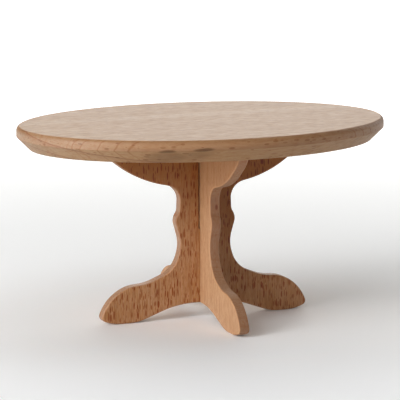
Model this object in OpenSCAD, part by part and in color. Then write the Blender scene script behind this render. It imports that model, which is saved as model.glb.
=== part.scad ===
// Miniature dining table: an oval top on a pedestal of two profiled boards.
// The boards cross at right angles in a halving joint, and a dowel pin in each arm holds the top.
// Origin: middle of the table on the floor. +X along the oval's long axis, +Z up. Millimetres.

/* [Top] */
// Length of the oval top, at its widest
table_length = 170; // [150:1:200]
// Width of the oval top, at its widest
table_width = 121; // [110:1:150]
// Height of the table above the floor
table_height = 89.6; // [88:0.1:100]
// Thickness of the top
top_thickness = 10; // [8:0.5:11]
// Height of the chamfer under the rim, cut at 45 degrees
chamfer = 5.6; // [2:0.1:5.6]
// Depth of the softened upper edge of the rim
edge_depth = 2.2; // [0.5:0.1:2.3]
// How far the softened upper edge reaches in over the top
edge_inset = 1.4; // [0.3:0.1:3]

/* [Leg boards] */
// Thickness of both leg boards
board_thickness = 4.9; // [4:0.1:8]
// Distance from a board's middle to the tip of its feet
foot_reach = 50.2; // [49.5:0.1:54]
// Distance from a board's middle to the end of its arms
arm_reach = 49; // [48.5:0.5:50.5]
// Height of the arch between the feet
arch_height = 6.9; // [4:0.1:9]
// Half width of the long board's waist
long_waist = 11.5; // [10:0.5:12.5]
// Half width of the cross board's waist
cross_waist = 14.5; // [9:0.5:14.5]
// Height from the long board's crotch, where column and arm meet, up to the top
long_crotch = 19.7; // [19:0.1:20]
// Radius of the long arms' sweep out from the crotch
long_sweep = 51; // [30:1:51]
// Height from the cross board's crotch up to the top
cross_crotch = 18.8; // [18.8:0.1:20]
// Radius of the cross arms' sweep out from the crotch
cross_sweep = 40; // [30:1:40]

/* [Joints] */
// Height above the floor where the slots of the two boards meet
halving_height = 41; // [30:1:50]
// Gap left beside the cross board in the long board's slot
slot_gap = 0.35; // [0.1:0.05:0.6]
// Clearance on the other faces of the halving joint
slot_fit = 0.05; // [0.02:0.01:0.2]
// Diameter of the dowel pins
dowel_diameter = 2.5; // [2:0.1:2.5]
// Length of the dowel pins
dowel_length = 10; // [7:0.5:12]
// Distance from a board's middle to its dowel pins
dowel_spread = 29; // [24:1:34]

/* [Placing] */
// How far the long board's middle stands to the right of the top's middle
long_board_x = 0.6; // [-2:0.1:2]
// How far the cross board stands to the right of the top's middle
cross_board_x = 0.2; // [-2:0.1:2]
// How far the cross board's middle stands behind the top's middle
cross_board_y = 1.5; // [-2:0.1:2]

/* [Hidden] */

underside = table_height - top_thickness;
half_length = table_length / 2;
half_width = table_width / 2;

// Fineness: corners of the oval, rings in the softened edge, and how far a board's
// arcs may lie from true
oval_corners = 120;
edge_rings = 4;
arc_tolerance = 0.01;
round_fn = 48;

// Dowel pins: radial and end clearance in their holes, and the bevel on their ends
hole_fit = 0.05;
hole_end = 0.3;
pin_bevel = 0.4;
hole_radius = dowel_diameter / 2 + hole_fit;
hole_depth = dowel_length / 2 + hole_end;

// How far a cutting tool runs past the faces that it cuts
overrun = 1;

beech_top = "#c8b7a8";
beech_long = "#966441";
beech_cross = "#c89673";
beech_pin = "#d9b98f";

// One corner of the oval, moved inwards from the rim at right angles to it
function oval_point(i, inset) =
    let (angle = 360 * i / oval_corners,
         x = half_length * cos(angle),
         y = half_width * sin(angle),
         out = [cos(angle) / half_length, sin(angle) / half_width])
    [x, y] - inset * out / norm(out);

// Rim section from the underside up: [inset from the widest line, height]
rim_section = concat(
    [[chamfer + 0.2, underside],
     [chamfer - 0.2, underside + 0.15],
     [0.3, underside + chamfer - 0.35],
     [0, underside + chamfer + 0.35]],
    [for (i = [0 : edge_rings])
        let (turn = 90 * i / edge_rings)
        [edge_inset * (1 - cos(turn)), table_height - edge_depth * (1 - sin(turn))]]);

module oval_board() {
    rows = len(rim_section);
    points = [for (row = rim_section) for (i = [0 : oval_corners - 1])
        let (p = oval_point(i, row[0])) [p[0], p[1], row[1]]];
    sides = [for (r = [0 : rows - 2]) for (i = [0 : oval_corners - 1])
        let (a = r * oval_corners, j = (i + 1) % oval_corners)
        [a + i, a + oval_corners + i, a + oval_corners + j, a + j]];
    under_face = [for (i = [0 : oval_corners - 1]) i];
    top_face = [for (i = [oval_corners - 1 : -1 : 0]) (rows - 1) * oval_corners + i];
    polyhedron(points, concat([under_face], sides, [top_face]));
}

// Corners of half a leg board, from the arch between the feet, round the foot and up the
// column to the end of the arm: [distance from the middle, height, radius of the corner]
function half_board(waist, crotch, sweep) = [
    [0, arch_height, 0],
    [13.6, arch_height, 46],
    [foot_reach - 17.6, 0, 20],
    [foot_reach - 5.9, 0, 20],
    [foot_reach, 2.5, 2.1],
    [foot_reach - 4, 12.8, 20],
    [foot_reach - 14.4, 16.7, 14],
    [foot_reach - 22.4, 17.3, 23],
    [waist + 3.6, 22.5, 13],
    [waist, 33.8, 15],
    [waist + 3.3, 45.5, 5.8],
    [waist + 1.1, 49, 3.8],
    [waist + 0.7, underside - crotch, 7.4],
    [arm_reach - 16.8, underside - 15.3, sweep],
    [arm_reach - 4, underside - 5.2, 22],
    [arm_reach, underside, 0],
];

// Points of an arc of radius r that rounds the corner b between a and c
function corner_arc(a, b, c, r) =
    let (u = (a - b) / norm(a - b),
         v = (c - b) / norm(c - b),
         half = acos(u * v) / 2,
         centre = b + (u + v) / norm(u + v) * r / sin(half),
         from = b + u * r / tan(half) - centre,
         sweep = (180 - 2 * half) * sign(cross(b - a, c - b)),
         steps = ceil(abs(sweep) / (2 * acos(1 - arc_tolerance / r))))
    [for (i = [0 : steps])
        let (t = sweep * i / steps)
        centre + [from[0] * cos(t) - from[1] * sin(t), from[0] * sin(t) + from[1] * cos(t)]];

function flat(p) = [p[0], p[1]];

function rounded(corners) = [
    for (i = [1 : len(corners) - 2])
        each corner_arc(flat(corners[i - 1]), flat(corners[i]), flat(corners[i + 1]), corners[i][2])
];

// Whole outline of a leg board, stood up in the XZ plane and centred on Y
module leg_board(waist, crotch, sweep) {
    corners = half_board(waist, crotch, sweep);
    side = concat(rounded(corners), [[arm_reach, underside]]);
    other = [for (i = [len(side) - 1 : -1 : 0]) [-side[i][0], side[i][1]]];
    rotate([90, 0, 0])
        linear_extrude(board_thickness, center = true)
            polygon(concat(side, other));
}

// Blind holes for the two pins of a board, half in the board and half in the top
module pin_holes() {
    for (side = [-1, 1])
        translate([side * dowel_spread, 0, underside - hole_depth])
            cylinder(h = 2 * hole_depth, r = hole_radius, $fn = round_fn);
}

module long_board_place() {
    translate([long_board_x, 0, 0]) children();
}

module cross_board_place() {
    translate([cross_board_x, cross_board_y, 0]) rotate([0, 0, 90]) children();
}

module tabletop() {
    color(beech_top)
        difference() {
            oval_board();
            long_board_place() pin_holes();
            cross_board_place() pin_holes();
        }
}

// Slotted from above, for the upper half of the joint
module long_leg_board() {
    slot_left = cross_board_x - board_thickness / 2 - slot_gap;
    slot_width = board_thickness + slot_gap + slot_fit;
    color(beech_long)
        difference() {
            long_board_place() leg_board(long_waist, long_crotch, long_sweep);
            long_board_place() pin_holes();
            translate([slot_left, -board_thickness, halving_height])
                cube([slot_width, 2 * board_thickness, underside - halving_height + overrun]);
        }
}

// Slotted from below, for the lower half of the joint
module cross_leg_board() {
    slot_half = board_thickness / 2 + slot_fit;
    color(beech_cross)
        difference() {
            cross_board_place() leg_board(cross_waist, cross_crotch, cross_sweep);
            cross_board_place() pin_holes();
            translate([cross_board_x - board_thickness, -slot_half, -overrun])
                cube([2 * board_thickness, 2 * slot_half, halving_height + overrun]);
        }
}

// A dowel pin with bevelled ends, half in the top and half in the arm
module dowel(side) {
    radius = dowel_diameter / 2;
    color(beech_pin)
        translate([side * dowel_spread, 0, underside - dowel_length / 2]) {
            cylinder(h = pin_bevel, r1 = radius - pin_bevel, r2 = radius, $fn = round_fn);
            translate([0, 0, pin_bevel])
                cylinder(h = dowel_length - 2 * pin_bevel, r = radius, $fn = round_fn);
            translate([0, 0, dowel_length - pin_bevel])
                cylinder(h = pin_bevel, r1 = radius, r2 = radius - pin_bevel, $fn = round_fn);
        }
}

tabletop();
long_leg_board();
cross_leg_board();
long_board_place() dowel(-1);  // dowel_left
long_board_place() dowel(1);  // dowel_right
cross_board_place() dowel(-1);  // dowel_front
cross_board_place() dowel(1);  // dowel_back
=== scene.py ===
"""Looks of the miniature dining table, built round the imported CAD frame. Metres, +Z up.

The top and the two leg boards are rebuilt with eased edges, and the dowel pins stay as the CAD has
them. All the wood is one kind of solid texture: growth rings round a pith line, ray flecks and
pores, laid along each board's own grain, so that faces, edges and end grain agree.
"""

import math

import bmesh
import bpy
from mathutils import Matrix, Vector


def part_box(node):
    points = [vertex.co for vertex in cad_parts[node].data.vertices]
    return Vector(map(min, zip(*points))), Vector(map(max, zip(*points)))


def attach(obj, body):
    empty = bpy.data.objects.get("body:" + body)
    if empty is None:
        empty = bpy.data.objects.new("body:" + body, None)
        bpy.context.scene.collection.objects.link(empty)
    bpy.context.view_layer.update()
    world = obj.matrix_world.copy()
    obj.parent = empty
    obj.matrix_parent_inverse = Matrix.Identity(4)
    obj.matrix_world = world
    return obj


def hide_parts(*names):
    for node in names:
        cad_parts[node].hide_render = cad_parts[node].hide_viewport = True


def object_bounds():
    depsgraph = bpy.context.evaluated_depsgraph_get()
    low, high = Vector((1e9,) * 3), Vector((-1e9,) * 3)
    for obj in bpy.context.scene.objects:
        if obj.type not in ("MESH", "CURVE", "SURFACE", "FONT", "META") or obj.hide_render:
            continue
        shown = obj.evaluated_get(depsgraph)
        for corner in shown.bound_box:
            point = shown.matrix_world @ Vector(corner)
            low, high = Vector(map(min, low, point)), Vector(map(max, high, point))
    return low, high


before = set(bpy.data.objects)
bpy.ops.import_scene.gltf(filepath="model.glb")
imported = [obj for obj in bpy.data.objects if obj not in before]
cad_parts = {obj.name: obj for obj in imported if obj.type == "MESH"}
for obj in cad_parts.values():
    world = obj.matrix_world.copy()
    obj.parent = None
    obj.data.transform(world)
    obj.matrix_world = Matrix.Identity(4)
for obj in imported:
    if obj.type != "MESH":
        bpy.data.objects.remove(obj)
cad_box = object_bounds()

MM = 0.001

# ---------------------------------------------------------------- sizes

# Tabletop, as in the CAD: height of the chamfer under the rim, and the softened upper edge
CHAMFER = 5.6 * MM
EDGE_DEPTH = 2.2 * MM
EDGE_INSET = 1.4 * MM
# Turn of the softened edge from the upright rim; it meets the flat face in a faint corner
EDGE_TURN = 66
# Rounding of the chamfer's upper and lower creases
CREASE_SOFT = 0.45 * MM
UNDER_SOFT = 0.3 * MM
OVAL_STEPS = 288
EDGE_STEPS = 10
CREASE_STEPS = 5

# Sanded edges of the leg boards: width, steps across, and the least corner that is sanded
BOARD_EASE = 0.6 * MM
EASE_STEPS = 3
SHARP = math.radians(40)
# Mesh clean-up: points nearer than WELD are one, and faces within COPLANAR are one
WELD = 0.002 * MM
COPLANAR = math.radians(0.2)

# Largest corner that is shaded smooth, and how strongly large faces keep their own shading: 50 is
# neutral
BOARD_SMOOTH = math.radians(35)
RIM_SMOOTH = math.radians(20)
FLAT_WEIGHT = 80

# Dowel pins, with the radial and end clearance of their blind holes, as in the CAD
PINS = ("dowel_left", "dowel_right", "dowel_front", "dowel_back")
PIN_SIDES = 48
HOLE_FIT = 0.05 * MM
HOLE_END = 0.3 * MM


# ---------------------------------------------------------------- meshes

def new_object(name, bm):
    """A mesh object that holds what is in bm."""
    mesh = bpy.data.meshes.new(name)
    bm.to_mesh(mesh)
    bm.free()
    obj = bpy.data.objects.new(name, mesh)
    bpy.context.scene.collection.objects.link(obj)
    return obj


def shade(obj, smooth):
    """Smooth shading up to the angle smooth, which stays flat on the flat faces."""
    obj.data.shade_smooth()
    obj.data.set_sharp_from_angle(angle=smooth)
    weighted = obj.modifiers.new("flat_faces_stay_flat", "WEIGHTED_NORMAL")
    weighted.keep_sharp = True
    weighted.weight = FLAT_WEIGHT


def arc(centre, radius_in, radius_up, start, stop, steps):
    """Points (inset, height) of a piece of an ellipse, angles in degrees from straight out."""
    points = []
    for i in range(steps + 1):
        angle = math.radians(start + (stop - start) * i / steps)
        inset = centre[0] - radius_in * math.cos(angle)
        points.append((inset, centre[1] + radius_up * math.sin(angle)))
    return points


def rim_section(underside, top):
    """Section of the tabletop's rim from the underside up: (inset from the widest line, height)."""
    soft = CREASE_SOFT
    under = UNDER_SOFT
    lean = 45
    # How far from its corner each rounding starts, as the faces there turn by lean degrees
    crease_back = soft * math.tan(math.radians(lean / 2))
    under_back = under * math.tan(math.radians(lean / 2))
    crease_height = underside + CHAMFER
    section = arc((CHAMFER + under_back, underside + under), under, under, -90, -lean, CREASE_STEPS)
    section += arc((soft, crease_height + crease_back), soft, soft, -lean, 0, CREASE_STEPS)
    turn = math.radians(EDGE_TURN)
    edge_in = EDGE_INSET / (1 - math.cos(turn))
    edge_up = EDGE_DEPTH / math.sin(turn)
    section += arc((edge_in, top - EDGE_DEPTH), edge_in, edge_up, 0, EDGE_TURN, EDGE_STEPS)
    return section


def oval_top():
    """The tabletop: rings of the rim section round an oval, with a blind hole for each dowel pin."""
    low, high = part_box("tabletop")
    half_length = (high.x - low.x) / 2
    half_width = (high.y - low.y) / 2
    bm = bmesh.new()
    rows = []
    for inset, height in rim_section(low.z, high.z):
        row = []
        for i in range(OVAL_STEPS):
            angle = 2 * math.pi * i / OVAL_STEPS
            rim = Vector((half_length * math.cos(angle), half_width * math.sin(angle), 0))
            out = Vector((math.cos(angle) / half_length, math.sin(angle) / half_width, 0)).normalized()
            point = rim - out * inset
            row.append(bm.verts.new((point.x, point.y, height)))
        rows.append(row)
    for lower, upper in zip(rows, rows[1:]):
        for i in range(OVAL_STEPS):
            j = (i + 1) % OVAL_STEPS
            bm.faces.new((lower[i], lower[j], upper[j], upper[i]))
    bm.faces.new(reversed(rows[0]))
    bm.faces.new(rows[-1])
    obj = new_object("oval_top", bm)
    for pin in PINS:
        drill(obj, pin)
    shade(obj, RIM_SMOOTH)
    return obj


def drill(obj, pin):
    """Cuts the blind hole round one dowel pin into obj."""
    low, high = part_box(pin)
    radius = (high.x - low.x) / 2 + HOLE_FIT
    bm = bmesh.new()
    bmesh.ops.create_cone(bm, cap_ends=True, segments=PIN_SIDES, radius1=radius, radius2=radius,
                          depth=high.z - low.z + 2 * HOLE_END)
    bmesh.ops.translate(bm, verts=bm.verts, vec=(low + high) / 2)
    cutter = new_object("cutter", bm)
    cut = obj.modifiers.new("hole", "BOOLEAN")
    cut.operation = "DIFFERENCE"
    cut.solver = "EXACT"
    cut.object = cutter
    bpy.context.view_layer.update()
    shaped = bpy.data.meshes.new_from_object(obj.evaluated_get(bpy.context.evaluated_depsgraph_get()))
    obj.modifiers.clear()
    obj.data = shaped
    bpy.data.objects.remove(cutter)


def eased_board(name, node):
    """A leg board with the CAD node's outline, slot and holes, and with its long edges sanded round.

    The edges that meet the underside of the top stay sharp. The points inside the sanded strips get
    full wear, which also paints a highlight along the sanded edges."""
    bm = bmesh.new()
    bm.from_mesh(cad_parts[node].data)
    bmesh.ops.remove_doubles(bm, verts=bm.verts, dist=WELD)
    bmesh.ops.dissolve_limit(bm, angle_limit=COPLANAR, verts=bm.verts, edges=bm.edges)
    bmesh.ops.recalc_face_normals(bm, faces=bm.faces)
    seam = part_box("tabletop")[0].z - BOARD_EASE
    edges = []
    for edge in bm.edges:
        below_seam = min(v.co.z for v in edge.verts) < seam
        if below_seam and edge.calc_face_angle(0) > SHARP:
            edges.append(edge)
    eased = bmesh.ops.bevel(bm, geom=edges, offset=BOARD_EASE, offset_type="OFFSET", segments=EASE_STEPS,
                            profile=0.5, affect="EDGES", clamp_overlap=True)
    strip = set(eased["faces"])
    # Sanded strips: their colour is partly real wear and partly a painted highlight along the edge
    wear_and_highlight = bm.verts.layers.float.new("wear_and_highlight")
    for vert in bm.verts:
        if vert.link_faces and all(face in strip for face in vert.link_faces):
            vert[wear_and_highlight] = 1.0
    obj = new_object(name, bm)
    shade(obj, BOARD_SMOOTH)
    return obj


# ---------------------------------------------------------------- material graphs

def rgb(red, green, blue):
    return (red, green, blue, 1.0)


# A ray fleck's size varies from FLECK_LEAST of its look's fill up to one fill more, its edge fades
# over a stretch of its radius, and its strength varies from FLECK_WEAK up by FLECK_VARY
FLECK_LEAST = 0.25
FLECK_EDGE = (0.7, 1.0)
FLECK_WEAK = 0.6
FLECK_VARY = 0.4


class Graph:
    """A material's node graph, with a short call for each kind of node that the woods use."""

    def __init__(self, name):
        self.material = bpy.data.materials.new(name)
        self.material.use_nodes = True
        self.tree = self.material.node_tree
        self.shader = self.tree.nodes["Principled BSDF"]

    def node(self, kind, inputs=None, **settings):
        made = self.tree.nodes.new(kind)
        for key, value in settings.items():
            setattr(made, key, value)
        for key, value in (inputs or {}).items():
            self.feed(made.inputs[key], value)
        return made

    def feed(self, socket, value):
        if isinstance(value, bpy.types.NodeSocket):
            self.tree.links.new(value, socket)
        else:
            socket.default_value = value

    def math(self, operation, a, b=0.0):
        return self.node("ShaderNodeMath", {0: a, 1: b}, operation=operation).outputs[0]

    def blend(self, share, a, b, mode="MIX"):
        made = self.node("ShaderNodeMix", data_type="RGBA", blend_type=mode)
        made.clamp_factor = True
        self.feed(made.inputs["Factor"], share)
        colour_a, colour_b, colour_result = 6, 7, 2
        self.feed(made.inputs[colour_a], a)
        self.feed(made.inputs[colour_b], b)
        return made.outputs[colour_result]

    def step(self, value, low, high, to_low=0.0, to_high=1.0):
        made = self.node("ShaderNodeMapRange", interpolation_type="SMOOTHSTEP")
        for key, given in (("Value", value), ("From Min", low), ("From Max", high),
                           ("To Min", to_low), ("To Max", to_high)):
            self.feed(made.inputs[key], given)
        return made.outputs["Result"]

    def cells(self, along, across, depth, sizes):
        """The place measured in cells of sizes (along, across, depth) in mm."""
        scaled = [self.math("DIVIDE", value, size) for value, size in zip((along, across, depth), sizes)]
        return self.node("ShaderNodeCombineXYZ", dict(enumerate(scaled))).outputs[0]

    def noise(self, along, across, depth, lengths, detail=2.0):
        """Noise between 0 and 1 whose lumps measure about lengths (along, across, depth) in mm."""
        vector = self.cells(along, across, depth, lengths)
        made = self.node("ShaderNodeTexNoise", {"Vector": vector, "Scale": 1.0, "Detail": detail,
                                                "Roughness": 0.5})
        return made.outputs["Fac"]

    def lenses(self, along, across, depth, spacings, fill):
        """Scattered lens-shaped flecks, one to a cell of about the spacings in mm; fill sets their size."""
        vector = self.cells(along, across, depth, spacings)
        cells = self.node("ShaderNodeTexVoronoi", {"Vector": vector, "Scale": 1.0})
        chance = self.node("ShaderNodeSeparateColor", {0: cells.outputs["Color"]}).outputs
        reach = self.math("MULTIPLY", self.math("ADD", chance[0], FLECK_LEAST), fill)
        edge = self.math("DIVIDE", cells.outputs["Distance"], reach)
        lens = self.step(edge, *FLECK_EDGE, 1.0, 0.0)
        strength = self.math("ADD", self.math("MULTIPLY", chance[1], FLECK_VARY), FLECK_WEAK)
        return self.math("MULTIPLY", lens, strength)


# ---------------------------------------------------------------- beech

# Growth rings: two slow noises make them wander, with lumps (along, across, depth) in mm, and the
# count of rings drifts by up to DRIFT, in lumps of about DRIFT_LENGTH mm
SWAY_LUMPS = (70, 45, 45)
LEAN_LUMPS = (38, 20, 60)
DRIFT_LENGTH = 6.0
DRIFT = 3.0
# Shares of a year at which its late wood reaches full strength, and from which it fades out
LATE_FULL = 0.96
LATE_END = 0.975

# Stretches of each noise over which its colour comes in
BROAD_SPAN = (0.3, 0.7)
MOTTLE_SPAN = (0.42, 0.68)
STREAK_SPAN = (0.38, 0.72)
PORE_SPAN = (0.5, 0.8)

# How square a surface stands to the board's thickness runs from 0 on an edge to 1 on a face. These
# stretches of it change the rings, the flecks and the colour from those of an edge to those of a face
RINGS_FACING = (0.3, 0.9)
FLECKS_FACING = (0.55, 0.9)
EDGE_FACING = (0.2, 0.95)

# Stretch along the grain, in mm, over which the flecks go from a look's first fill to its second
FLECK_RISE = (45.0, 70.0)
# Stretch across the grain, in mm, over which fade_tilt moves the fade along the grain
# On the long board the tilt brings the painted shade lower down on its right side, beside the cross board
TILT_SPAN = (0.0, 14.0)

# Gloss: roughness swings either side of its look's value with the streaks, and drops in the flecks
WOOD_ROUGH_SWING = 0.06
WOOD_ROUGH_SPAN = (0.2, 0.8)
FLECK_GLOSS = 0.08

# Relief: share of the streaks, of the pores and of the flecks in it, its strength and its depth
STREAK_RELIEF = 0.5
PORE_RELIEF = 0.5
FLECK_RELIEF = 0.4
RELIEF_STRENGTH = 0.5
RELIEF_DEPTH = 0.05 * MM


def late_wood(g, along, across, depth, faces, pith, look):
    """Strength of the dark late wood at the end of each year's ring."""
    sway = g.noise(along, across, depth, SWAY_LUMPS, detail=1.0)
    lean = g.noise(along, across, depth, LEAN_LUMPS, detail=1.0)
    side = g.math("ADD", g.math("SUBTRACT", across, pith[0]), g.math("MULTIPLY", sway, look["sway"]))
    rise = g.math("ADD", g.math("SUBTRACT", depth, pith[1]), g.math("MULTIPLY", lean, look["sway"]))
    radius = g.math("SQRT", g.math("ADD", g.math("MULTIPLY", side, side), g.math("MULTIPLY", rise, rise)))
    years = g.math("DIVIDE", radius, DRIFT_LENGTH)
    uneven = g.node("ShaderNodeTexNoise", {"W": years, "Scale": 1.0, "Detail": 1.0},
                    noise_dimensions="1D").outputs["Fac"]
    turns = g.math("ADD", g.math("DIVIDE", radius, look["spacing"]), g.math("MULTIPLY", uneven, DRIFT))
    year = g.math("FRACT", turns)
    grows = g.step(year, look["late_from"], LATE_FULL)
    late = g.math("MULTIPLY", grows, g.step(year, LATE_END, 1.0, 1.0, 0.0))
    return g.math("MULTIPLY", late, g.step(faces, *RINGS_FACING, look["ring"], look["face_ring"]))


def beech(name, grain, pith, look):
    """Solid beech. grain gives the axes along, across and through the board; pith is the rings'
    centre (across, through) in mm; look holds the colours and the strengths of the figure."""
    g = Graph(name)
    place = g.node("ShaderNodeTexCoord").outputs["Object"]
    xyz = g.node("ShaderNodeSeparateXYZ", {0: place}).outputs
    along, across, depth = [g.math("DIVIDE", xyz["XYZ".index(axis)], MM) for axis in grain]

    # How square a surface stands to the grain (end grain) and to the board's thickness (its faces)
    normal = g.node("ShaderNodeNewGeometry").outputs["Normal"]
    facing = g.node("ShaderNodeSeparateXYZ", {0: normal}).outputs
    ends = g.math("POWER", facing["XYZ".index(grain[0])], 2.0)
    faces = g.math("POWER", facing["XYZ".index(grain[2])], 2.0)

    late = late_wood(g, along, across, depth, faces, pith, look)

    # Streaks, ray flecks and pores, all drawn out along the grain
    broad = g.noise(along, across, depth, look["broad_size"])
    streak = g.noise(along, across, depth, look["streak_size"])
    fine = g.noise(along, across, depth, look["fine_size"])
    fill = g.step(along, *FLECK_RISE, *look["fleck_fill"])
    fleck = g.lenses(along, across, depth, look["fleck_size"], fill)
    fleck = g.math("MULTIPLY", fleck, g.step(faces, *FLECKS_FACING, look["edge_fleck"], look["face_fleck"]))
    mottle = g.noise(along, across, depth, look["mottle_size"], detail=1.0)

    colour = g.blend(g.step(broad, *BROAD_SPAN), look["pale"], look["deep"])
    colour = g.blend(g.math("MULTIPLY", g.step(mottle, *MOTTLE_SPAN), look["mottle"]), colour, look["grey"])
    # On the long and cross boards this fade is painted shade, darker towards the arms under the top
    tilted = g.math("ADD", along, g.step(across, *TILT_SPAN, 0.0, look["fade_tilt"]))
    colour = g.blend(g.step(tilted, *look["fade_span"], 0.0, look["fade"]), colour, look["fade_colour"])
    colour = g.blend(g.step(faces, *EDGE_FACING, look["edge"], 0.0), colour, look["edge_colour"])
    colour = g.blend(g.math("MULTIPLY", ends, look["end"]), colour, look["end_colour"])
    colour = g.blend(g.math("MULTIPLY", g.step(streak, *STREAK_SPAN), look["streak"]), colour, look["dark"])
    colour = g.blend(late, colour, look["late"])
    if "marks" in look:
        colour = look["marks"](g, xyz, colour, faces)
    colour = g.blend(g.math("MULTIPLY", g.step(fine, *PORE_SPAN), look["pore"]), colour, look["dark"])
    colour = g.blend(fleck, colour, look["fleck_tint"], "MULTIPLY")

    # The sanded edges: partly real wear, partly a painted highlight along the edge
    wear_and_highlight = g.node("ShaderNodeAttribute", attribute_name="wear_and_highlight").outputs["Fac"]
    colour = g.blend(g.math("MULTIPLY", wear_and_highlight, look["wear_and_highlight"]), colour, look["rub_and_highlight_colour"])
    g.feed(g.shader.inputs["Base Color"], colour)

    smooth = look["rough"] - WOOD_ROUGH_SWING
    coarse = look["rough"] + WOOD_ROUGH_SWING
    rough = g.step(streak, *WOOD_ROUGH_SPAN, smooth, coarse)
    g.feed(g.shader.inputs["Roughness"], g.math("SUBTRACT", rough, g.math("MULTIPLY", fleck, FLECK_GLOSS)))
    g.shader.inputs["IOR"].default_value = look["ior"]

    height = g.math("ADD", g.math("MULTIPLY", streak, STREAK_RELIEF), g.math("MULTIPLY", fine, PORE_RELIEF))
    height = g.math("SUBTRACT", height, g.math("MULTIPLY", fleck, FLECK_RELIEF))
    bump = g.node("ShaderNodeBump", {"Height": height, "Strength": RELIEF_STRENGTH, "Distance": RELIEF_DEPTH})
    g.feed(g.shader.inputs["Normal"], bump.outputs["Normal"])
    return g.material


# ---------------------------------------------------------------- marks of the tabletop

# The lines, the pale band and the smudges wander by this noise: its lumps (x, y, z) and its whole
# swing, in mm
WANDER_LUMPS = (14, 5, 6)
WANDER = 2.6
# Squareness to the top's thickness over which the lines on the rim end
RIM_FACING = (0.6, 0.95)

# Strong late-wood lines: distance in front of the middle line in mm, and strength
YEAR_LINES = (
    (19.0, 0.4), (29.6, 0.4), (31.8, 0.75), (34.3, 0.75),
    (39.5, 0.75), (44.1, 0.8), (47.1, 0.8), (54.8, 0.35),
)
# They lean by this share of the height, fade over these distances in mm from their middle, and are
# weaker on the chamfer: heights over the crease in mm, and strengths there
YEAR_LEAN = 0.3
YEAR_EDGE = (0.05, 0.4)
YEAR_ON_CHAMFER = (-3.0, 0.5, 0.6, 1.0)
YEAR_COLOUR = rgb(0.25, 0.10, 0.032)

# Two growth lines that lie nearly flat, on the front left and the back right of the rim: height over
# the crease = HEART_BASE + HEART_X x + HEART_Y y, in mm
HEART_BASE = -1.0
HEART_X = -0.069
HEART_Y = 0.147
# Each line: how far it lies below that height in mm, and the strengths of its shadow and its line
HEART_LINES = ((0.0, 0.35, 0.85), (5.2, 0.2, 0.7))
# Heights in mm over which the shadow and the line come in from below, and over which both stop
HEART_SHADOW = (-2.5, -0.1)
HEART_LINE = (-0.55, -0.2)
HEART_STOP = (0.0, 0.3)
# They follow this share of the wander
HEART_WANDER = 0.3
HEART_COLOUR = rgb(0.22, 0.085, 0.035)

# Paler straight band along the top: how far behind the middle line, and half its width, in mm
BAND_Y = 17.0
BAND_HALF = 8.0
# Share of the half width that has the full strength, that strength, and how many times the wander
# it follows
BAND_CORE = 0.3
BAND_STRENGTH = 0.32
BAND_WANDER = 2.5
BAND_COLOUR = rgb(0.53, 0.34, 0.21)

# The chamfer is tinted a little less red: heights over the crease in mm, strengths there, and tint
CHAMFER_TINT_SPAN = (-0.4, 0.2, 0.9, 0.0)
CHAMFER_TINT = rgb(0.89, 0.98, 1.0)

# Painted shade just above the crease: heights over it where the shade fades out and where it comes in,
# places along x where it comes in and where it fades out, all in mm, and its tint
CREASE_SHADE_TOP = (0.1, 2.4)
CREASE_SHADE_BOTTOM = (-0.4, 0.0)
CREASE_SHADE_LEFT = (-70.0, -50.0)
CREASE_SHADE_RIGHT = (20.0, 45.0)
CREASE_SHADE_TINT = rgb(0.80, 0.78, 0.74)

# Dark handling marks near the crease: (x, height over the crease), (half length, half height) in mm,
# and strength
SMUDGES = (
    ((-37.8, 0.0), (3.4, 0.7), 0.85),
    ((-38.0, -3.2), (9.0, 3.4), 0.45),
    ((-22.4, 0.55), (4.4, 0.75), 0.9),
    ((-24.0, -1.6), (6.0, 2.2), 0.25),
    ((-27.0, -2.8), (10.0, 3.0), 0.2),
)
# They fade out between these places along y in mm, so that the back has none. They end where the
# squared distance reaches SMUDGE_END, and follow so many times the wander along x and in height
SMUDGE_FRONT = (-20.0, -10.0)
SMUDGE_END = 1.4
SMUDGE_WANDER_X = 2.0
SMUDGE_WANDER_Z = 0.5
SMUDGE_COLOUR = rgb(0.085, 0.030, 0.005)


def spot_distance(g, x, z, middle, half_size):
    """Squared distance from middle, which is 1 on the outline of an oval of that half size."""
    aside = g.math("DIVIDE", g.math("SUBTRACT", x, middle[0]), half_size[0])
    off = g.math("DIVIDE", g.math("SUBTRACT", z, middle[1]), half_size[1])
    return g.math("ADD", g.math("POWER", aside, 2.0), g.math("POWER", off, 2.0))


def year_lines(g, y, over, wander, rim, colour):
    """Strong growth lines that cross the rim along the front."""
    lean = g.math("MULTIPLY", over, YEAR_LEAN)
    place = g.math("ADD", g.math("ADD", y, lean), wander)
    lines = 0.0
    for distance, strength in YEAR_LINES:
        away = g.math("ABSOLUTE", g.math("ADD", place, distance))
        lines = g.math("MAXIMUM", lines, g.step(away, *YEAR_EDGE, strength, 0.0))
    lines = g.math("MULTIPLY", lines, g.step(over, *YEAR_ON_CHAMFER))
    return g.blend(g.math("MULTIPLY", lines, rim), colour, YEAR_COLOUR)


def heart_lines(g, x, y, over, wander, rim, colour):
    """Two long growth lines that lie nearly flat on the rim, each with a soft shadow under it."""
    slope = g.math("ADD", g.math("MULTIPLY", x, HEART_X), g.math("MULTIPLY", y, HEART_Y))
    above = g.math("SUBTRACT", g.math("ADD", over, g.math("MULTIPLY", wander, HEART_WANDER)), HEART_BASE)
    above = g.math("SUBTRACT", above, slope)
    for drop, soft, sharp in HEART_LINES:
        away = g.math("ADD", above, drop)
        stop = g.step(away, *HEART_STOP, 1.0, 0.0)
        shadow = g.math("MULTIPLY", g.step(away, *HEART_SHADOW, 0.0, soft), stop)
        line = g.math("MULTIPLY", g.step(away, *HEART_LINE, 0.0, sharp), stop)
        both = g.math("MULTIPLY", g.math("MAXIMUM", shadow, line), rim)
        colour = g.blend(both, colour, HEART_COLOUR)
    return colour


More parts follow.
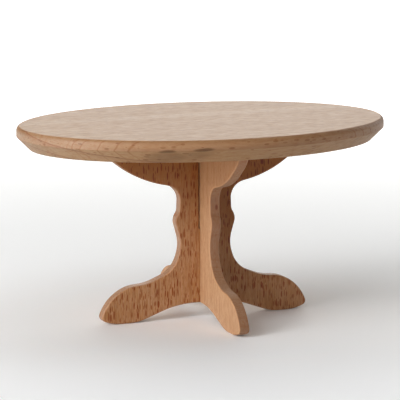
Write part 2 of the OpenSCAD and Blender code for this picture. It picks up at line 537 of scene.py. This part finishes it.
def top_marks(g, xyz, colour, faces):
    """The tabletop's growth lines, its pale band, the chamfer's tint, painted shade just above the crease,
    and the dirt on its rim.
    """
    x, y, z = [g.math("DIVIDE", value, MM) for value in xyz]
    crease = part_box("tabletop")[0].z + CHAMFER
    over = g.math("SUBTRACT", z, crease / MM)
    centred = g.math("SUBTRACT", g.noise(x, y, z, WANDER_LUMPS), 0.5)
    wander = g.math("MULTIPLY", centred, WANDER)
    rim = g.step(faces, *RIM_FACING, 1.0, 0.0)

    colour = year_lines(g, y, over, wander, rim, colour)
    colour = heart_lines(g, x, y, over, wander, rim, colour)

    beside = g.math("SUBTRACT", g.math("ADD", y, g.math("MULTIPLY", wander, BAND_WANDER)), BAND_Y)
    off_band = g.math("ABSOLUTE", beside)
    band = g.step(off_band, BAND_HALF * BAND_CORE, BAND_HALF, BAND_STRENGTH, 0.0)
    colour = g.blend(g.math("MULTIPLY", band, faces), colour, BAND_COLOUR)

    colour = g.blend(g.step(over, *CHAMFER_TINT_SPAN), colour, CHAMFER_TINT, "MULTIPLY")

    # Painted shade on the rim, darkest just above the crease
    crease_shade = g.math("MULTIPLY", g.step(over, *CREASE_SHADE_TOP, 1.0, 0.0), g.step(over, *CREASE_SHADE_BOTTOM))
    span = g.math("MULTIPLY", g.step(x, *CREASE_SHADE_LEFT), g.step(x, *CREASE_SHADE_RIGHT, 1.0, 0.0))
    colour = g.blend(g.math("MULTIPLY", crease_shade, span), colour, CREASE_SHADE_TINT, "MULTIPLY")

    front = g.step(y, *SMUDGE_FRONT, 1.0, 0.0)
    ragged_x = g.math("ADD", x, g.math("MULTIPLY", wander, SMUDGE_WANDER_X))
    ragged_z = g.math("ADD", over, g.math("MULTIPLY", wander, SMUDGE_WANDER_Z))
    for middle, half_size, strength in SMUDGES:
        away = spot_distance(g, ragged_x, ragged_z, middle, half_size)
        spot = g.step(away, 0.0, SMUDGE_END, strength, 0.0)
        colour = g.blend(g.math("MULTIPLY", spot, front), colour, SMUDGE_COLOUR)
    return colour


# ---------------------------------------------------------------- mark of the cross board

# Small reddish knot on the front edge: (x, z) of its middle and half its size, in mm, then the
# squared distances between which it fades, its strength and its colour
KNOT = (1.0, 52.2)
KNOT_SIZE = (0.8, 1.5)
KNOT_FADE = (0.1, 1.2)
KNOT_STRENGTH = 0.9
KNOT_COLOUR = rgb(0.17, 0.045, 0.02)
# It is on the front edge only: it fades out between these places along y in mm, and over this
# squareness to the board's thickness
KNOT_FRONT = (-6.0, -4.0)
KNOT_FACING = (0.3, 0.7)


def cross_marks(g, xyz, colour, faces):
    """The small knot on the cross board's front edge."""
    x, y, z = [g.math("DIVIDE", value, MM) for value in xyz]
    away = spot_distance(g, x, z, KNOT, KNOT_SIZE)
    front_edge = g.math("MULTIPLY", g.step(y, *KNOT_FRONT, 1.0, 0.0), g.step(faces, *KNOT_FACING, 1.0, 0.0))
    spot = g.math("MULTIPLY", g.step(away, *KNOT_FADE, KNOT_STRENGTH, 0.0), front_edge)
    return g.blend(spot, colour, KNOT_COLOUR)


# ---------------------------------------------------------------- looks of the pieces

# Sizes are (along, across, depth) in mm, spans are in mm along the grain, sway, spacing and tilt are
# in mm, and strengths are from 0 to 1. Rings and flecks have one strength on a board's edges and
# another on its faces.
# In each look the sanded edges' colour is partly real wear and partly a painted highlight
TOP_LOOK = {
    "pale": rgb(0.48, 0.265, 0.125), "deep": rgb(0.41, 0.205, 0.08), "grey": rgb(0.49, 0.285, 0.145),
    "dark": rgb(0.26, 0.105, 0.035), "late": rgb(0.27, 0.10, 0.035), "rub_and_highlight_colour": rgb(0.46, 0.25, 0.12),
    "broad_size": (90, 8, 8), "streak_size": (6, 2.0, 0.8), "mottle_size": (7, 4, 2.0),
    "streak": 0.35, "mottle": 0.35, "wear_and_highlight": 0.3,
    "fine_size": (2.2, 1.6, 0.4), "pore": 0.65,
    "sway": 9.0, "spacing": 3.4, "late_from": 0.7, "ring": 0.15, "face_ring": 0.3,
    "fleck_size": (5.0, 2.6, 1.5), "fleck_fill": (0.3, 0.3), "fleck_tint": rgb(0.70, 0.55, 0.40),
    "face_fleck": 0.4, "edge_fleck": 1.0,
    "edge": 0.7, "edge_colour": rgb(0.315, 0.165, 0.078),
    "end": 0.9, "end_colour": rgb(0.285, 0.19, 0.12),
    "fade": 0.5, "fade_span": (-72.0, -35.0), "fade_tilt": 0.0, "fade_colour": rgb(0.37, 0.175, 0.065),
    "rough": 0.5, "ior": 1.46,
    "marks": top_marks,
}
LONG_LOOK = {
    "pale": rgb(0.51, 0.265, 0.125), "deep": rgb(0.46, 0.21, 0.075), "grey": rgb(0.52, 0.295, 0.155),
    "dark": rgb(0.26, 0.075, 0.015), "late": rgb(0.28, 0.08, 0.02), "rub_and_highlight_colour": rgb(0.46, 0.26, 0.14),
    "broad_size": (60, 9, 9), "streak_size": (9, 0.6, 0.9), "mottle_size": (3.2, 0.7, 2.5),
    "streak": 0.55, "mottle": 0.6, "wear_and_highlight": 0.3,
    "fine_size": (2.2, 0.42, 0.42), "pore": 0.75,
    "sway": 5.0, "spacing": 3.0, "late_from": 0.8, "ring": 0.2, "face_ring": 0.1,
    "fleck_size": (4.4, 0.80, 3.0), "fleck_fill": (0.45, 0.48), "fleck_tint": rgb(0.50, 0.18, 0.02),
    "face_fleck": 1.0, "edge_fleck": 0.08,
    "edge": 0.9, "edge_colour": rgb(0.35, 0.222, 0.143),
    "end": 0.6, "end_colour": rgb(0.40, 0.24, 0.14),
    # Painted shade: the fade darkens the arms under the top, and by its tilt the right side beside the cross
    # board
    "fade": 0.9, "fade_span": (25.0, 80.0), "fade_tilt": 25.0, "fade_colour": rgb(0.225, 0.070, 0.004),
    "rough": 0.5, "ior": 1.35,
}
CROSS_LOOK = {
    "pale": rgb(0.48, 0.285, 0.155), "deep": rgb(0.44, 0.25, 0.125), "grey": rgb(0.50, 0.31, 0.175),
    "dark": rgb(0.30, 0.12, 0.045), "late": rgb(0.28, 0.11, 0.045), "rub_and_highlight_colour": rgb(0.52, 0.27, 0.12),
    "broad_size": (60, 9, 9), "streak_size": (6, 0.7, 0.9), "mottle_size": (3.2, 0.7, 2.5),
    "streak": 0.5, "mottle": 0.4, "wear_and_highlight": 0.5,
    "fine_size": (1.5, 0.4, 0.4), "pore": 0.8,
    "sway": 4.0, "spacing": 1.4, "late_from": 0.6, "ring": 0.45, "face_ring": 0.3,
    "fleck_size": (4.0, 2.0, 1.2), "fleck_fill": (0.3, 0.3), "fleck_tint": rgb(0.70, 0.45, 0.35),
    "face_fleck": 0.4, "edge_fleck": 0.3,
    "edge": 0.7, "edge_colour": rgb(0.265, 0.12, 0.066),
    "end": 0.5, "end_colour": rgb(0.42, 0.27, 0.16),
    # Painted shade: the fade darkens the arms under the top
    "fade": 0.8, "fade_span": (25.0, 80.0), "fade_tilt": 0.0, "fade_colour": rgb(0.37, 0.172, 0.066),
    "rough": 0.6, "ior": 1.46,
    "marks": cross_marks,
}
PIN_LOOK = dict(LONG_LOOK, pale=rgb(0.68, 0.49, 0.3), deep=rgb(0.62, 0.42, 0.25), grey=rgb(0.7, 0.5, 0.32),
                fade=0.0, face_fleck=0.3)

# Grain of each wood (axes along, across and through the board), and its pith (across, through) in
# mm; the top's pith is given below its underside
TOP_GRAIN = "XYZ"
TOP_PITH_ACROSS = 160.0
TOP_PITH_BELOW = 10.0
LONG_GRAIN = "ZXY"
LONG_PITH = (6.0, 60.0)
CROSS_GRAIN = "ZYX"
CROSS_PITH = (50.0, 4.0)
PIN_PITH = (4.0, 9.0)


# ---------------------------------------------------------------- pieces

def add_pieces():
    """The three rebuilt boards, and the CAD's own dowel pins, all in beech."""
    top_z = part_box("tabletop")[0].z / MM
    woods = {
        "top": beech("beech_top", TOP_GRAIN, (TOP_PITH_ACROSS, top_z - TOP_PITH_BELOW), TOP_LOOK),
        "long_board": beech("beech_long_board", LONG_GRAIN, LONG_PITH, LONG_LOOK),
        "cross_board": beech("beech_cross_board", CROSS_GRAIN, CROSS_PITH, CROSS_LOOK),
        "dowel": beech("beech_dowel", LONG_GRAIN, PIN_PITH, PIN_LOOK),
    }
    rebuilt = [
        (oval_top(), "tabletop", "top"),
        (eased_board("long_board", "long_leg_board"), "long_leg_board", "long_board"),
        (eased_board("cross_board", "cross_leg_board"), "cross_leg_board", "cross_board"),
    ]
    for piece, node, slot in rebuilt:
        piece.data.materials.clear()
        piece.data.materials.append(woods[slot])
        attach(piece, "root")
        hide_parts(node)
    for pin in PINS:
        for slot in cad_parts[pin].material_slots:
            slot.material = woods["dowel"]


# ---------------------------------------------------------------- studio

WHITE = (1.0, 1.0, 1.0)
WARM = (1.0, 0.97, 0.9)

# Floor: half its width in metres, faces to a side, the scale and the detail of its mottle, its two
# colours and its sheen
FLOOR_HALF = 6.0
FLOOR_FACES = 8
FLOOR_MOTTLE = 9.0
FLOOR_DETAIL = 3.0
FLOOR_COLOURS = (rgb(0.91, 0.92, 0.93), rgb(0.94, 0.95, 0.96))
FLOOR_ROUGHNESS = 0.9
FLOOR_SPECULAR = 0.1
# Its glow is the sum of two: distances from the table's middle in metres, and strengths there
FLOOR_GLOW_NEAR = (0.05, 0.16, 0.02, 0.19)
FLOOR_GLOW_FAR = (0.12, 1.1, 0.0, 0.85)

# Strength of the surround, from a pale band at the horizon up to the dim rest. The From values are
# sines of the elevation
BACKDROP = {"From Min": 0.02, "From Max": 0.05, "To Min": 1.0, "To Max": 0.02}

# Soft boxes round the table: the side and the distance of each in metres, then their names,
# azimuths and elevations in degrees, watts and colours
SOFT_BOX_SIZE = 0.7
SOFT_BOX_DISTANCE = 1.4
STUDIO_LIGHTS = (
    ("key_left", -76, 12, 13.7, WHITE),
    ("left_high", -70, 35, 6.8, WHITE),
    ("front", -30, 35, 2.4, WHITE),
    ("back", 157, 12, 4.6, WARM),
    ("back_high", 157, 35, 2.9, WARM),
    ("left_back", -118, 25, 1.4, WHITE),
    ("right_back", 115, 22, 3.2, WHITE),
    ("right_high", 90, 60, 1.4, WHITE),
)

# Camera, to the left of the front and a little above the top: azimuth and elevation in degrees,
# distance in metres from its aim, the aim in mm from the middle of the table, its lens and sensor
# in mm, and the nearest and farthest that it sees in metres
CAMERA_AZIMUTH = -22.138
CAMERA_ELEVATION = 9.977
CAMERA_DISTANCE = 1.10135
CAMERA_AIM = (-0.47, 1.75, 8.21)
CAMERA_LENS = 220.5
CAMERA_SENSOR = 36.0
CAMERA_CLIP = (0.1, 50.0)


def direction(azimuth, elevation):
    """Unit vector from the table towards an azimuth and elevation in degrees; azimuth 0 is the front."""
    a = math.radians(azimuth)
    e = math.radians(elevation)
    return Vector((math.sin(a) * math.cos(e), -math.cos(a) * math.cos(e), math.sin(e)))


def place_facing(name, data, aim, back, distance):
    """An object that stands at that distance from aim, along back, and faces aim."""
    obj = bpy.data.objects.new(name, data)
    obj.location = aim + back * distance
    obj.rotation_mode = "QUATERNION"
    obj.rotation_quaternion = (-back).to_track_quat("-Z", "Y")
    bpy.context.scene.collection.objects.link(obj)
    return obj


def add_camera():
    lens = bpy.data.cameras.new("camera")
    lens.sensor_width = CAMERA_SENSOR
    lens.lens = CAMERA_LENS
    lens.clip_start, lens.clip_end = CAMERA_CLIP
    aim = (cad_box[0] + cad_box[1]) / 2 + Vector(CAMERA_AIM) * MM
    back = direction(CAMERA_AZIMUTH, CAMERA_ELEVATION)
    bpy.context.scene.camera = place_facing("camera", lens, aim, back, CAMERA_DISTANCE)


def floor_material():
    """Pale matt studio floor with a faint mottle."""
    g = Graph("studio_floor")
    place = g.node("ShaderNodeTexCoord").outputs["Object"]
    mottle = g.node("ShaderNodeTexNoise", {"Vector": place, "Scale": FLOOR_MOTTLE, "Detail": FLOOR_DETAIL})
    colour = g.blend(mottle.outputs["Fac"], *FLOOR_COLOURS)
    g.feed(g.shader.inputs["Base Color"], colour)
    g.shader.inputs["Roughness"].default_value = FLOOR_ROUGHNESS
    g.shader.inputs["Specular IOR Level"].default_value = FLOOR_SPECULAR
    # A glow that grows away from the table keeps the far floor near white, as on a lit studio sweep
    away = g.node("ShaderNodeVectorMath", {0: place}, operation="LENGTH").outputs["Value"]
    g.shader.inputs["Emission Color"].default_value = rgb(*WHITE)
    glow = g.math("ADD", g.step(away, *FLOOR_GLOW_NEAR), g.step(away, *FLOOR_GLOW_FAR))
    g.feed(g.shader.inputs["Emission Strength"], glow)
    return g.material


def add_floor():
    bm = bmesh.new()
    bmesh.ops.create_grid(bm, x_segments=FLOOR_FACES, y_segments=FLOOR_FACES, size=FLOOR_HALF)
    bmesh.ops.translate(bm, verts=bm.verts, vec=(0, 0, cad_box[0].z))
    floor = new_object("studio_floor", bm)
    floor.data.materials.append(floor_material())


def add_world():
    """A dim surround, with a low pale band that carries the floor on past its far edge."""
    world = bpy.data.worlds.new("studio")
    world.use_nodes = True
    tree = world.node_tree
    background = tree.nodes["Background"]
    background.inputs["Color"].default_value = rgb(*WHITE)
    sky = tree.nodes.new("ShaderNodeTexCoord")
    split = tree.nodes.new("ShaderNodeSeparateXYZ")
    band = tree.nodes.new("ShaderNodeMapRange")
    band.interpolation_type = "SMOOTHSTEP"
    for key, value in BACKDROP.items():
        band.inputs[key].default_value = value
    tree.links.new(sky.outputs["Generated"], split.inputs[0])
    tree.links.new(split.outputs["Z"], band.inputs["Value"])
    tree.links.new(band.outputs["Result"], background.inputs["Strength"])
    bpy.context.scene.world = world


def add_soft_boxes():
    """Square soft lights, all aimed at the middle of the table."""
    aim = (cad_box[0] + cad_box[1]) / 2
    for name, azimuth, elevation, power, colour in STUDIO_LIGHTS:
        light = bpy.data.lights.new(name, "AREA")
        light.shape = "SQUARE"
        light.size = SOFT_BOX_SIZE
        light.energy = power
        light.color = colour
        place_facing(name, light, aim, direction(azimuth, elevation), SOFT_BOX_DISTANCE)


add_camera()
add_pieces()
add_floor()
add_world()
add_soft_boxes()
bpy.context.scene.view_settings.view_transform = "Standard"
